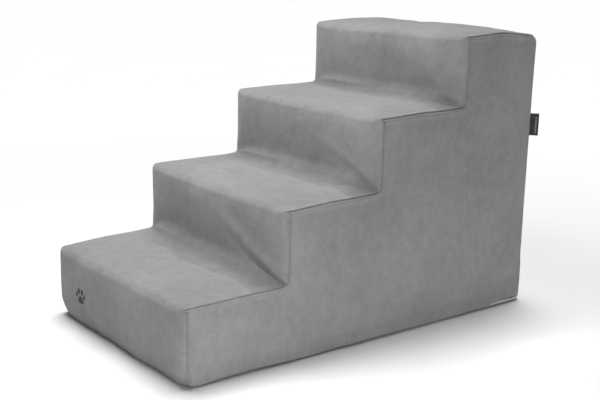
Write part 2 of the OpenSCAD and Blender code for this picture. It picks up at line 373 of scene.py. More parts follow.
def band_points():
    """The outer face of the band, one row of points for each outline node."""
    x = XS[None, :]
    ry, rz = PATH[:, :1], PATH[:, 1:]
    web_r = SEAM_WEB_R + 24 * ramp(0, 70, HALF_W - abs(x))
    nose_r = SEAM_NOSE_R + (NOSING_R - SEAM_NOSE_R) * ramp(0, 26, HALF_W - x)
    y, z = rounded(ry + 0 * x, rz + 0 * x, web_r, nose_r)
    ty, tz = np.gradient(y, axis=0), np.gradient(z, axis=0)
    size = np.maximum(np.hypot(ty, tz), 1e-9)
    ny, nz = -tz / size, ty / size
    up = smooth_along(upward(x, ry + 0 * x, rz + 0 * x), 6)
    out = band_relief(x, ry + 0 * x, rz + 0 * x, rz + up)
    over, down, seam = edge_shape(ny**2, np.arange(len(PATH))[:, None])
    away = HALF_W - abs(x)
    angle = seam * np.clip(1 - away / over, 0, 1)
    inward = np.where(away < over, over * (1 - np.sin(angle)), away)
    drop = down * (1 - np.cos(angle)) * (away < over)
    groove = seam_groove(away, ny**2)
    inward, drop = inward + groove * np.sin(angle), drop + groove * np.cos(angle)
    y, z = y + ny * (out - drop), z + nz * (out - drop) + up
    px = np.sign(x) * (HALF_W - inward)
    return np.stack([px, y, z], axis=2), np.stack([ny, nz], axis=2), out, up


def side_points(right, normals, relief, up):
    """The outer face of a side panel: grid points inside the outline, and their depth."""
    edge = -1 if right else 0
    gy, gz = np.meshgrid(YS, ZS, indexing="ij")
    nose_r = SEAM_NOSE_R if right else NOSING_R
    y, z = rounded(gy.ravel(), gz.ravel(), SEAM_WEB_R, nose_r)
    ey, ez = rounded(PATH[:, 0], PATH[:, 1], SEAM_WEB_R, nose_r)
    nearest = np.array([np.argmin((ey - a) ** 2 + (ez - b) ** 2) for a, b in zip(y, z)])
    depth = np.hypot(ey[nearest] - y, ez[nearest] - z)
    # A point between two outline nodes takes its depth from the line through them
    ny, nz = normals[nearest, edge].T
    depth = np.where(depth < TINY, 0, np.maximum((ey[nearest] - y) * ny + (ez[nearest] - z) * nz, 0))
    near = np.exp(-depth / 30)
    lift = relief[nearest, edge] * near
    over, down, seam = edge_shape(ny**2, nearest)
    t = np.clip(depth / down, 0, 1)
    angle = seam + (math.pi / 2 - seam) * t
    inward = over * (1 - np.sin(angle))
    want = np.where(depth < down, down * (1 - np.cos(angle)), depth)
    groove = seam_groove(depth, ny**2)
    inward, want = inward + groove * np.sin(angle), want + groove * np.cos(angle)
    move = depth - want + lift
    y, z = y + ny * move, z + nz * move + up[nearest, edge] * near
    stand = side_relief(gy.ravel(), gz.ravel(), depth, right) + welt(depth, ny**2 * (nearest < TOP_BACK))
    px = (HALF_W - inward + stand) * (1 if right else -1)
    return np.stack([px, y, z], axis=1)


# ---- Making meshes ----


def vertex_normals(points, faces):
    a, b, c, d = (points[faces[:, i]] for i in range(4))
    face = np.cross(c - a, d - b)
    out = np.zeros_like(points)
    for i in range(4):
        np.add.at(out, faces[:, i], face)
    return out / np.maximum(np.linalg.norm(out, axis=1, keepdims=True), 1e-12)


def grid_faces(rows, columns, keep=None):
    """Quads of a grid of points, each wound the same way."""
    i, j = np.meshgrid(np.arange(rows - 1), np.arange(columns - 1), indexing="ij")
    if keep is not None:
        i, j = i[keep], j[keep]
    a = (i * columns + j).ravel()
    return np.stack([a, a + 1, a + columns + 1, a + columns], axis=1)


def closed_sheet(points, faces, thickness):
    """Gives an open face of cloth its thickness, inwards, and closes it round its edge."""
    used, faces = np.unique(faces, return_inverse=True)
    points, faces = points[used], faces.reshape(-1, 4)
    inner = points - vertex_normals(points, faces) * thickness
    n = len(points)
    sides = np.concatenate([faces[:, [k, (k + 1) % 4]] for k in range(4)])
    seen = {tuple(e) for e in sides.tolist()}
    rim = np.array([(b, a, a + n, b + n) for a, b in seen if (b, a) not in seen])
    rim = rim[np.lexsort(rim.T)]
    return np.concatenate([points, inner]), np.concatenate([faces, faces[:, ::-1] + n, rim])


def add_object(name, data):
    made = bpy.data.objects.new(name, data)
    bpy.context.scene.collection.objects.link(made)
    return made


def new_mesh(name, points, faces, material, smooth=True):
    """A mesh object from points in millimetres."""
    mesh = bpy.data.meshes.new(name)
    mesh.from_pydata((np.asarray(points) * MM).tolist(), [], [list(map(int, f)) for f in faces])
    mesh.validate()
    mesh.polygons.foreach_set("use_smooth", [smooth] * len(mesh.polygons))
    mesh.materials.append(material)
    return add_object(name, mesh)


def claim(piece, body, node=None):
    """Says which body a piece rides on, and the CAD node that it replaces."""
    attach(piece, body)
    if node:
        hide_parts(node)


def ring_faces(rings, count, first=0, closed=False):
    """Quads between neighbouring rings of count points, and back to the first ring if closed."""
    quads = []
    for k in range(rings if closed else rings - 1):
        low, high = first + k * count, first + (k + 1) % rings * count
        quads += [(low + b, low + (b + 1) % count, high + (b + 1) % count, high + b) for b in range(count)]
    return quads


def end_faces(rings, count):
    """The two faces that close a stack of rings."""
    return [tuple(range(count - 1, -1, -1)), tuple((rings - 1) * count + b for b in range(count))]


def turned(quads):
    """The same quads looking the other way, each from the same corner."""
    return [(f[0], *f[:0:-1]) for f in quads]


def rounded_rectangle(low, high, r, count=4, far_r=None):
    """Points anticlockwise from the lower right corner, count to each; far_r is the upper ones' radius."""
    (x0, y0), (x1, y1) = low, high
    q = far_r or r
    corners = ((x1 - r, y0 + r, r), (x1 - q, y1 - q, q), (x0 + q, y1 - q, q), (x0 + r, y0 + r, r))
    out = []
    for (cx, cy, radius), start in zip(corners, (-90, 0, 90, 180)):
        turn = np.radians(np.linspace(start, start + 90, count))
        out += [(cx + radius * math.cos(a), cy + radius * math.sin(a)) for a in turn]
    return out


# ---- Materials ----


class Shader:
    """A material's nodes, with short calls for the ones used here."""

    def __init__(self, name, **values):
        self.material = bpy.data.materials.new(name)
        self.material.use_nodes = True
        self.tree = self.material.node_tree
        self.surface = self.tree.nodes["Principled BSDF"]
        for key, value in values.items():
            self.surface.inputs[key.replace("_", " ")].default_value = value

    def add(self, kind, inputs=None, **settings):
        node = self.tree.nodes.new(kind)
        for key, value in settings.items():
            setattr(node, key, value)
        for key, value in (inputs or {}).items():
            if isinstance(value, bpy.types.NodeSocket):
                self.tree.links.new(value, node.inputs[key])
            else:
                node.inputs[key].default_value = value
        return node

    def place(self, scale=(1, 1, 1)):
        """Object coordinates, in metres, stretched by scale."""
        where = self.add("ShaderNodeTexCoord").outputs["Object"]
        return self.add("ShaderNodeMapping", {"Vector": where, "Scale": scale}).outputs["Vector"]

    def noise(self, scale, stretch=(1, 1, 1), detail=3.0, roughness=0.5, distortion=0.0):
        inputs = {"Vector": self.place(stretch), "Scale": scale, "Detail": detail}
        inputs |= {"Roughness": roughness, "Distortion": distortion}
        return self.add("ShaderNodeTexNoise", inputs).outputs["Fac"]

    def math(self, operation, a, b=0.0):
        return self.add("ShaderNodeMath", {0: a, 1: b}, operation=operation).outputs[0]

    def times(self, a, b):
        return self.math("MULTIPLY", a, b)

    def spread(self, value, low, high, to_low=0.0, to_high=1.0):
        inputs = {"Value": value, "From Min": low, "From Max": high, "To Min": to_low, "To Max": to_high}
        return self.add("ShaderNodeMapRange", inputs).outputs["Result"]

    def mix(self, factor, a, b):
        # 6, 7 and 2 are the colour sockets: A, B and the result
        return self.add("ShaderNodeMix", {"Factor": factor, 6: a, 7: b}, data_type="RGBA").outputs[2]

    def total(self, first, *others):
        """The sum of (value, share) pairs, each value times its share."""
        out = self.times(*first)
        for pair in others:
            out = self.math("ADD", out, self.times(*pair))
        return out

    def sine(self, value, rate):
        return self.math("SINE", self.times(value, rate))

    def axes(self):
        """X, Y and Z of the object coordinates, in metres."""
        return self.add("ShaderNodeSeparateXYZ", {0: self.place()}).outputs

    def link(self, value, name):
        self.tree.links.new(value, self.surface.inputs[name])

    def colour(self, factor, a, b):
        self.link(self.mix(factor, a, b), "Base Color")

    def bump(self, height, distance, strength=1.0):
        node = self.add("ShaderNodeBump", {"Height": height, "Distance": distance, "Strength": strength})
        self.link(node.outputs["Normal"], "Normal")


def grey(value, tint=(1.0, 0.996, 1.004)):
    return tuple(value * t for t in tint) + (1.0,)


def velour(name, light=0.24):
    """Brushed velour: a nap that is stroked lighter and darker in soft patches, over short fibres, with
    painted shade on a strip of each tread.
    """
    s = Shader(name, Roughness=0.92, Sheen_Weight=0.18, Sheen_Roughness=0.5, Specular_IOR_Level=0.12)
    patches = s.noise(8, detail=3, roughness=0.55, distortion=0.5)
    strokes = s.noise(60, (1, 1, 0.75), detail=3, roughness=0.6, distortion=0.4)
    mottle = s.noise(150, detail=4, roughness=0.75)
    fibres = s.noise(800, detail=2, roughness=0.7)
    shade = s.spread(s.total((patches, 0.30), (strokes, 0.26), (mottle, 0.28), (fibres, 0.16)), 0.37, 0.63)
    pile = s.mix(shade, grey(light * 0.82), grey(light * 1.17))
    # Painted shade: where the cloth climbs from each tread to the next riser, the strip is coloured darker
    # where it faces up, fading out towards the left end
    where = s.axes()
    steps_in = s.math("DIVIDE", s.math("SUBTRACT", where[1], FRONT * MM), TREAD * MM)
    wobble = s.spread(s.noise(9, detail=2), 0.2, 0.8, -0.05, 0.05)
    part = s.math("FRACT", s.math("ADD", steps_in, wobble))
    facing = s.add("ShaderNodeSeparateXYZ", {0: s.add("ShaderNodeNewGeometry").outputs["Normal"]}).outputs[2]
    painted_shade = s.times(s.spread(part, 0.69, 0.715), s.spread(facing, 0.55, 0.95))
    painted_shade = s.times(painted_shade, s.spread(where[0], -0.16, -0.05))
    # Where the painted shade mask is 1, a darker copy of the pile is painted in
    s.colour(painted_shade, pile, s.mix(shade, grey(light * 0.69), grey(light)))
    s.bump(s.total((fibres, 0.4), (mottle, 0.6)), 0.0009, 0.6)
    return s.material


def woven(name, colour, pitch, roughness=0.85, depth=0.0002):
    """A plain weave of threads pitch metres apart."""
    s = Shader(name, Roughness=roughness, Sheen_Weight=0.15, Specular_IOR_Level=0.25)
    x, y, z = s.axes()
    turns = 2 * math.pi / pitch
    across = s.sine(s.math("ADD", x, y), turns)
    weave = s.spread(s.times(across, s.sine(z, turns)), -1, 1)
    tone = s.noise(60, detail=3)
    shade = s.total((weave, 0.5), (tone, 0.5))
    dark, bright = (tuple(c * k for c in colour[:3]) + (1.0,) for k in (0.75, 1.2))
    s.colour(shade, dark, bright)
    s.bump(weave, depth)
    return s.material


VELOUR = velour("cover_velour")


# ---- The cover ----


def front_point(points, x, z, out):
    """The point of the settled front face at x and about z, standing out of it by out."""
    rows = np.flatnonzero((PATH[:, 0] < FRONT + TINY) & (PATH[:, 1] < RISE - NOSING_R))
    heights = points[rows][:, len(XS) // 2, 2]
    at = np.interp(z, heights, rows)
    row, part = int(at), at - int(at)
    line = points[row] * (1 - part) + points[min(row + 1, rows[-1])] * part
    return [np.interp(x, line[:, 0], line[:, 0]), np.interp(x, line[:, 0], line[:, 1]) - out, z]


def thin_out(values, keep, gap):
    """Indices of grid lines about gap apart, with those nearest to each of keep among them."""
    stops = sorted({int(np.argmin(abs(values - k))) for k in keep})
    picked = []
    for a, b in zip(stops[:-1], stops[1:]):
        even = np.linspace(values[a], values[b], max(1, round((values[b] - values[a]) / gap)) + 1)
        picked += [int(np.argmin(abs(values - at))) for at in even[:-1]]
    return np.array(sorted(set(picked + [stops[-1]])))


def curve(at, xs, values):
    """A smooth curve through values, known at xs along their first axis, read at each of at."""
    slope = np.gradient(values, xs, axis=0)
    k = np.clip(np.searchsorted(xs, at, side="right") - 1, 0, len(xs) - 2)
    gap = (xs[k + 1] - xs[k])[:, None, None]
    t = (at - xs[k])[:, None, None] / gap
    near = (1 + 2 * t) * (1 - t) ** 2 * values[k] + t * (1 - t) ** 2 * gap * slope[k]
    return near + t**2 * (3 - 2 * t) * values[k + 1] + t**2 * (t - 1) * gap * slope[k + 1]


# One cloth of the whole cover, on a grid of SIM_GAP, relaxes over SIM_FRAMES
SIM_GAP = 10.0
SIM_FRAMES = 36
# No point moves further than this
SIM_CAP = 4.0
# How firmly the seams and the open cloth are held, and the height below which all of it is
SEAM_HELD, CLOTH_HELD, FOOT_HELD = 0.35, 0.06, 26
CLOTH = {
    "quality": 6,
    "mass": 0.02,
    "tension_stiffness": 18,
    "compression_stiffness": 18,
    "shear_stiffness": 6,
    "bending_stiffness": 0.25,
    "tension_damping": 8,
    "compression_damping": 8,
    "shear_damping": 8,
    "air_damping": 4,
    "shrink_min": -0.005,
    "use_pressure": True,
    "uniform_pressure_force": 0.9,
    "pin_stiffness": 1.0,
}


def slacken(band, sides):
    """Lets the whole sewn cover relax as cloth: how far each point of the band and of both sides moves."""
    at_x = thin_out(XS, [-HALF_W, HALF_W], SIM_GAP)
    at_y = thin_out(YS, RISERS + [BACK], SIM_GAP)
    at_z = thin_out(ZS, [0] + LEVELS, SIM_GAP)
    at_path = np.flatnonzero(np.isin(PATH[:, 0], YS[at_y]) & np.isin(PATH[:, 1], ZS[at_z]))
    numbers, points, faces = {}, [], []

    def number(key, place):
        if key not in numbers:
            numbers[key] = len(points)
            points.append(place * MM)
        return numbers[key]

    band_n = np.array([[number((XS[j], *PATH[i]), band[i, j]) for j in at_x] for i in at_path])
    corners = [band_n[:-1, :-1], band_n[:-1, 1:], band_n[1:, 1:], band_n[1:, :-1]]
    faces += np.stack(corners, axis=2).reshape(-1, 4).tolist()
    side_n = []
    top_of = RISE * np.clip(np.floor((YS[at_y] - FRONT + NEAR) / TREAD) + 1, 1, STEPS)
    for edge, side in zip((HALF_W, -HALF_W), sides):
        n = np.full((len(at_y), len(at_z)), -1)
        for a, i in enumerate(at_y):
            for b, j in enumerate(at_z):
                if ZS[j] < top_of[a] + NEAR:
                    n[a, b] = number((edge, YS[i], ZS[j]), side[i, j])
        for a in range(len(at_y) - 1):
            for b in range(len(at_z) - 1):
                if (ZS[at_z[b]] + ZS[at_z[b + 1]]) / 2 < top_of[a]:
                    quad = [int(n[a, b]), int(n[a + 1, b]), int(n[a + 1, b + 1]), int(n[a, b + 1])]
                    faces.append(quad if edge > 0 else quad[::-1])
        side_n.append(n)
    mesh = bpy.data.meshes.new("sewn_cover")
    mesh.from_pydata([list(p) for p in points], [], faces)
    cloth = add_object("sewn_cover", mesh)
    start = np.array(points)
    # Held firmly at the floor, less at the seams, and hardly elsewhere
    pins = cloth.vertex_groups.new(name="held")
    keys = np.array(list(numbers))
    seam = abs(keys[:, 0]) > HALF_W - NEAR
    seam &= np.array([tuple(k[1:]) in {tuple(p) for p in PATH[at_path]} for k in keys])
    held = np.where(keys[:, 2] < FOOT_HELD, 1.0, np.where(seam, SEAM_HELD, CLOTH_HELD))
    for v, weight in enumerate(held):
        pins.add([v], float(weight), "REPLACE")
    sim = cloth.modifiers.new("cloth", "CLOTH")
    for name, value in CLOTH.items():
        setattr(sim.settings, name, value)
    sim.settings.vertex_group_mass = "held"
    sim.settings.effector_weights.gravity = 0.15
    sim.collision_settings.use_collision = False
    sim.point_cache.frame_start, sim.point_cache.frame_end = 1, SIM_FRAMES
    for frame_at in range(1, SIM_FRAMES + 1):
        bpy.context.scene.frame_set(frame_at)
    settled = cloth.evaluated_get(bpy.context.evaluated_depsgraph_get()).to_mesh()
    end = np.empty(len(points) * 3)
    settled.vertices.foreach_get("co", end)
    moved = (end.reshape(-1, 3) - start) / MM
    bpy.data.objects.remove(cloth)
    bpy.data.meshes.remove(mesh)
    bpy.context.scene.frame_set(1)
    moved = moved / np.sqrt(1 + (np.linalg.norm(moved, axis=1, keepdims=True) / SIM_CAP) ** 2)
    # Each point's move is evened out with its neighbours'
    quads = np.array(faces)
    for _ in range(2):
        total, count = np.zeros_like(moved), np.zeros((len(moved), 1))
        for k in range(4):
            np.add.at(total, quads[:, k], moved[quads[:, (k + 1) % 4]] + moved[quads[:, k - 1]])
            np.add.at(count, quads[:, k], 2)
        moved = (moved + total / count) / 2
    across = curve(ALONG, ALONG[at_path], moved[band_n]).transpose(1, 0, 2)
    out_band = curve(XS, XS[at_x], across).transpose(1, 0, 2)
    out_sides = []
    # A side's edge moves exactly as the band's edge does, so that the seam stays shut
    seam_y, seam_z = np.searchsorted(YS, PATH[:, 0] - 1e-4), np.searchsorted(ZS, PATH[:, 1] - 1e-4)
    for n, column in zip(side_n, (-1, 0)):
        top = np.array([row[row >= 0][-1] for row in n])
        across = curve(YS, YS[at_y], moved[np.where(n < 0, top[:, None], n)]).transpose(1, 0, 2)
        out = curve(ZS, ZS[at_z], across).transpose(1, 0, 2)
        out[seam_y, seam_z] = out_band[:, column]
        out_sides.append(out)
    return out_band, out_sides


def make_cover():
    band, normals, relief, up = band_points()
    rows, columns = band.shape[:2]
    points = settle(band.reshape(-1, 3)).reshape(rows, columns, 3)
    sides = [settle(side_points(r, normals, relief, up)).reshape(len(YS), len(ZS), 3) for r in (True, False)]
    band_move, side_moves = slacken(points, sides)
    points = points + band_move
    sides = [side + move for side, move in zip(sides, side_moves)]
    points = points.reshape(-1, 3)
    faces = grid_faces(rows, columns)
    row_of = faces.min(axis=1) // columns
    pieces = {}
    # The strip is turned down over the back edge by a few rows
    for node, keep in (("step_strip", row_of < TOP_BACK + 3), ("back_panel", row_of >= TOP_BACK + 3)):
        pieces["cover_" + node] = (*closed_sheet(points, faces[keep], CLOTH_T), node)
    mid_y, mid_z = (YS[1:] + YS[:-1]) / 2, (ZS[1:] + ZS[:-1]) / 2
    top_at = RISE * np.clip(np.floor((mid_y - FRONT) / TREAD) + 1, 1, STEPS)
    inside = mid_z[None, :] < top_at[:, None]
    faces = grid_faces(len(YS), len(ZS), inside)
    for hand, side, outward in zip(("right", "left"), sides, (faces[:, ::-1], faces)):
        panel = closed_sheet(side.reshape(-1, 3), outward, CLOTH_T)
        pieces["cover_side_" + hand] = (*panel, "side_panel_" + hand)
    for name, (p, f, node) in pieces.items():
        panel = new_mesh(name, p, f, VELOUR)
        claim(panel, "root", node)
    return points.reshape(rows, columns, 3)


band_surface = make_cover()


# ---- Foam boards ----

# How far the foam lies inside the cover, at the outline and at the sides, and the rounding of its ends
FOAM_INSET = 11.0
FOAM_SIDE = 8.0
FOAM_END_R = 16.0


def foam():
    """Cut polyurethane foam with a fine open-cell skin."""
    s = Shader("open_cell_foam", Roughness=0.95, Subsurface_Weight=0.1, Subsurface_Scale=0.004)
    cells = s.add("ShaderNodeTexVoronoi", {"Vector": s.place(), "Scale": 700.0}).outputs["Distance"]
    tone = s.total((s.noise(20, detail=4), 0.7), (cells, 0.5))
    s.colour(s.spread(tone, 0.3, 0.8), (0.83, 0.78, 0.60, 1), (0.93, 0.90, 0.76, 1))
    s.bump(cells, 0.0006)
    return s.material


def foam_outline(i):
    """Board i's end outline: square at the glue lines, round at its nosing and at the top back edge."""
    low = i * RISE - FOAM_INSET if i else BASE_T + 1
    front, top, back = RISERS[i] + FOAM_INSET, LEVELS[i] - FOAM_INSET, BACK - FOAM_INSET
    r = NOSING_R - FOAM_INSET / 2
    turn = np.linspace(0, math.pi / 2, 9)
    nosing = [(front + r - r * math.cos(a), top - r + r * math.sin(a)) for a in turn]
    edge = BACK_TOP_R - 4 if i == STEPS - 1 else 0.5
    back_top = [(back - edge + edge * math.sin(a), top - edge + edge * math.cos(a)) for a in turn]
    foot = [(front + 14, low), (front + 4, low + 12), (front, low + 36)] if i == 0 else [(front, low)]
    return np.array(foot + nosing + back_top + [(back, low)])


def make_foam():
    material = foam()
    half, end_r = HALF_W - FOAM_SIDE, FOAM_END_R
    stations = [half - end_r + end_r * math.sin(a) for a in np.linspace(0, math.pi / 2, 8)]
    between = list(np.linspace(-half + end_r, half - end_r, 24)[1:-1])
    xs = np.array([-x for x in stations[::-1]] + between + stations)
    for i in range(STEPS):
        outline = foam_outline(i)
        middle, size = outline.mean(axis=0), outline.max(axis=0) - outline.min(axis=0)
        rings = []
        for x in xs:
            away = half - abs(x)
            inset = end_r - math.sqrt(max(end_r**2 - max(end_r - away, 0) ** 2, 0))
            ring = middle + (outline - middle) * (1 - 2 * inset * np.array([1, 0.9]) / size)
            wave = 0.4 * ripples(np.full(len(ring), x), ring[:, 0] + ring[:, 1], 50 + i, 90)
            away_from_middle = (ring - middle) / np.linalg.norm(ring - middle, axis=1, keepdims=True)
            ring = ring + away_from_middle * wave[:, None]
            rings.append(np.column_stack([np.full(len(ring), x), ring]))
        stack = len(xs), len(outline)
        faces = [f[::-1] for f in ring_faces(*stack) + end_faces(*stack)]
        board = new_mesh(f"foam_board_{i + 1}", np.concatenate(rings), faces, material)
        claim(board, "root", f"foam_slab_{i + 1}")


make_foam()


# ---- Base ----

# The base's section at its edge: how far it is drawn in, and the height
BASE_LAYERS = [(9.0, 0.6), (7.4, 0.8), (6.9, 1.5), (7.3, 2.3), (9.0, 2.6)]
BASE_FRONT_R, BASE_BACK_R = 36, 16
DOT_PITCH, DOT_R, DOT_SIDES, DOT_MARGIN = 12.0, 2.0, 8, 16


def make_base():
    material = woven("base_fabric", (0.27, 0.27, 0.272, 1), 0.0016, roughness=0.8, depth=0.0003)
    rings = []
    for inset, z in BASE_LAYERS:
        low, high = (-HALF_W + inset, FRONT + inset), (HALF_W - inset, BACK - inset)
        ring = rounded_rectangle(low, high, BASE_FRONT_R, 10, BASE_BACK_R)
        rings.append(np.column_stack([ring, np.full(len(ring), z)]))
    stack = len(rings), len(rings[0])
    faces = ring_faces(*stack) + end_faces(*stack)
    base = new_mesh("anti_slip_base", np.concatenate(rings), faces, material)
    # The two large flat faces
    for k in (-1, -2):
        base.data.polygons[len(faces) + k].use_smooth = False
    claim(base, "root", "base_panel")
    dots = Shader("grip_dot_rubber", Roughness=0.6, Specular_IOR_Level=0.4)
    dots.colour(dots.noise(50), (0.16, 0.16, 0.162, 1), (0.22, 0.22, 0.222, 1))
    turn = np.arange(DOT_SIDES) * 2 * math.pi / DOT_SIDES
    points, faces = [], []
    # Rows 0.866 of the pitch apart, each shifted by half the pitch from the last
    for i, y in enumerate(np.arange(FRONT + DOT_MARGIN, BACK - DOT_MARGIN + 2, DOT_PITCH * 0.866)):
        first_x = -HALF_W + DOT_MARGIN + (i % 2) * DOT_PITCH / 2
        for x in np.arange(first_x, HALF_W - DOT_MARGIN + 1, DOT_PITCH):
            at = len(points)
            for size, z in ((1.0, 0.75), (0.92, 0.3), (0.5, 0.06)):
                r = DOT_R * size
                points += [(x + r * math.cos(a), y + r * math.sin(a), z) for a in turn]
            faces += [(f[1], f[0], f[3], f[2]) for f in ring_faces(3, DOT_SIDES, at)]
            faces += [tuple(at + b for b in f[::-1]) for f in end_faces(3, DOT_SIDES)]
    claim(new_mesh("anti_slip_dots", points, faces, dots.material), "root")


make_base()


# ---- Zip ----

COIL_PITCH = 1.5
COIL_WIRE = 0.28
# The zip's pieces are placed outwards from this far inside the cover's side
ZIP_IN = 2.0


def zip_path(out, step):
    """Points along the zip in plan, each with its outward direction, from the left end round to the right."""
    x, y = HALF_W - ZIP_IN + out, BACK - CORNER_R
    cx, r = HALF_W - CORNER_R, CORNER_R - ZIP_IN + out
    start = ZIP_FRONT + 0.4
    side, turn, back = y - start, r * math.pi / 2, 2 * cx
    total = 2 * side + 2 * turn + back
    out_points = []
    for s in np.linspace(0, total, int(total / step)):
        if s < side:
            p = (-x, start + s, -1, 0)
        elif s < side + turn:
            a = (s - side) / r
            p = (-cx - r * math.cos(a), y + r * math.sin(a), -math.cos(a), math.sin(a))
        elif s < side + turn + back:
            p = (-cx + (s - side - turn), y + r, 0, 1)
        elif s < side + 2 * turn + back:
            a = (s - side - turn - back) / r
            p = (cx + r * math.sin(a), y + r * math.cos(a), math.sin(a), math.cos(a))
        else:
            p = (x, y - (s - side - 2 * turn - back), 1, 0)
        out_points.append(p)
    return np.array(out_points)


def make_coil(node, up):
    """A nylon coil: one wire wound along the tape's edge, its crowns towards the zip's middle."""
    low, high = node_box(node)
    centre_z, half_h = (low[2] + high[2]) / 2, (high[2] - low[2]) / 2
    segments, sides = 8, 5
    path = zip_path(0.75, COIL_PITCH / segments)
    wire = []
    for k, (x, y, nx, ny) in enumerate(path):
        a = 2 * math.pi * k / segments
        out, rise = (0.72 - COIL_WIRE) * math.cos(a), (half_h + 0.1 - COIL_WIRE) * math.sin(a)
        wire.append((x + nx * out, y + ny * out, centre_z - up * 0.1 + rise))
    coil = new_mesh(node + "_wound", *tube(np.array(wire), COIL_WIRE, sides), COIL)
    claim(coil, "root", node)


def around(line, side, up, radius, sides):
    """Rings of points round a line, in the two directions given at each of its points."""
    turn = np.arange(sides) * 2 * math.pi / sides
    ring = side[:, None] * np.cos(turn)[:, None] + up[:, None] * np.sin(turn)[:, None]
    return (line[:, None] + radius * ring).reshape(-1, 3)


def tube(line, radius, sides):
    """A tube along a line of points, closed at both ends."""
    along = np.gradient(line, axis=0)
    along /= np.linalg.norm(along, axis=1, keepdims=True)
    side = np.cross(along, (0, 0, 1.0))
    weak = np.linalg.norm(side, axis=1) < 0.1
    side[weak] = np.cross(along[weak], (0, 1.0, 0))
    side /= np.linalg.norm(side, axis=1, keepdims=True)
    stack = len(line), sides
    faces = turned(ring_faces(*stack)) + [f[::-1] for f in end_faces(*stack)]
    return around(line, side, np.cross(side, along), radius, sides), faces


def nylon():
    s = Shader("zip_coil_nylon", Roughness=0.35, Specular_IOR_Level=0.5)
    s.colour(s.noise(300), (0.42, 0.42, 0.42, 1), (0.56, 0.56, 0.55, 1))
    return s.material


def metal():
    """Grey enamelled zinc, worn a little in small patches."""
    s = Shader("zip_metal", Metallic=0.85)
    wear = s.noise(500, detail=5, roughness=0.7)
    s.colour(s.spread(wear, 0.45, 0.7), (0.30, 0.30, 0.31, 1), (0.52, 0.52, 0.53, 1))
    s.link(s.spread(wear, 0.3, 0.7, 0.28, 0.45), "Roughness")
    s.bump(wear, 0.00004)
    return s.material


COIL, METAL = nylon(), metal()
TAPE = woven("zip_tape_weave", (0.74, 0.74, 0.72, 1), 0.0009, depth=0.0001)
for half, up in (("upper", 1), ("lower", -1)):
    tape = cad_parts["zip_tape_" + half].data.materials
    tape.clear()
    tape.append(TAPE)
    make_coil("zip_coil_" + half, up)


def solid(outline, low, high, soft):
    """An outline in S and W extruded in N from low to high, with softened edges: rings of (s, w, n)."""
    outline = np.array(outline, float)
    middle = (outline.max(axis=0) + outline.min(axis=0)) / 2
    size = (outline.max(axis=0) - outline.min(axis=0)) / 2
    rings = []
    turn = np.linspace(0, math.pi / 2, 4)
    levels = [(soft * (1 - math.sin(a)), low + soft * (1 - math.cos(a))) for a in turn]
    levels += [(soft * (1 - math.cos(a)), high - soft * (1 - math.sin(a))) for a in turn]
    for inset, n_at in levels:
        ring = middle + (outline - middle) * (1 - inset / size)
        rings.append(np.column_stack([ring, np.full(len(ring), n_at)]))
    stack = len(rings), len(outline)
    return np.concatenate(rings), ring_faces(*stack) + end_faces(*stack)


def joined(parts):
    points, faces, at = [], [], 0
    for p, f in parts:
        points.append(np.asarray(p, float))
        faces += [tuple(i + at for i in face) for face in f]
        at += len(p)
    return np.concatenate(points), faces


def at_zip(points, y, side=-1):
    """Puts (s, w, n) shapes on the zip's straight run at y: n out of the side, s along Y and w along Z."""
    s, w, n = np.asarray(points).T
    mid_z = (node_box("zip_coil_upper")[0][2] + node_box("zip_coil_lower")[1][2]) / 2
    return np.column_stack([side * (HALF_W - ZIP_IN + n), y + s, mid_z + w])


def facing_out(points, faces):
    """The same closed shape, with its faces turned to look outwards."""
    triangles = [(f[0], f[k], f[k + 1]) for f in faces for k in range(1, len(f) - 1)]
    volume = sum(np.dot(points[a], np.cross(points[b], points[c])) for a, b, c in triangles)
    return points, faces if volume > 0 else [f[::-1] for f in faces]


def make_metal_piece(name, node, body, parts, y, side=-1):
    points, faces = joined([facing_out(at_zip(p, y, side), f) for p, f in parts])
    claim(new_mesh(name, points, faces, METAL), body, node)


def make_slider():
    low, high = node_box("zip_slider")
    y, half, wide = (low[1] + high[1]) / 2, (high[1] - low[1]) / 2, (high[2] - low[2]) / 2
    lower = [(-half, -wide + 0.9), (-half + 0.9, -wide), (half - 1.4, -wide), (half, -wide + 1.4)]
    lower += [(half, -0.9)]
    plate = lower + [(half - 0.8, 0)] + [(s, -w) for s, w in lower[::-1]]
    # The upper and lower plates, the wedge between the coils, the two side walls, and the bail over them
    parts = [solid(plate, 1.9, 3.05, 0.3), solid(plate, -1.85, -0.85, 0.25)]
    parts += [solid(rounded_rectangle((2.6, -0.34), (4.1, 0.34), 0.15), -1.3, 2.4, 0.05)]
    for w in (-wide, wide - 1.15):
        parts += [solid(rounded_rectangle((-half + 0.6, w), (half - 0.9, w + 1.15), 0.3), 0.35, 2.4, 0.15)]
    arch = [(-1.72 * math.cos(a), 0, 3.0 + 1.95 * math.sin(a) ** 0.7) for a in np.linspace(0, math.pi, 17)]
    points, faces = tube(np.array(arch), 0.42, 8)
    # The bail is wider than it is thick
    points[:, 1] *= 1.7
    parts.append((points, faces))
    make_metal_piece("zip_slider_cast", "zip_slider", "slider", parts, y)


# How far out the pull's middle plane lies, counted as for the zip's other pieces
PULL_OUT = 4.05


def make_pull():
    low, high = node_box("zip_pull")
    y, wide = low[1] + 0.5, (high[2] - low[2]) / 2
    length = high[1] - y
    turn = np.linspace(0, 2 * math.pi, 33)[:-1]
    loop = [(2.4 - 2.4 * math.cos(a), 1.8 * math.sin(a), PULL_OUT) for a in turn]
    tab = rounded_rectangle((4.7, -wide), (length, wide), 1.9, 7)
    parts = [closed_tube(np.array(loop), 0.45, 8), solid(tab, PULL_OUT - 0.5, PULL_OUT + 0.5, 0.3)]
    grip = rounded_rectangle((6.6, -wide + 1.1), (length - 2.0, wide - 1.1), 1.0, 5)
    parts += [solid(grip, PULL_OUT - 0.72, PULL_OUT + 0.72, 0.25)]
    make_metal_piece("zip_pull_tab", "zip_pull", "pull", parts, y)


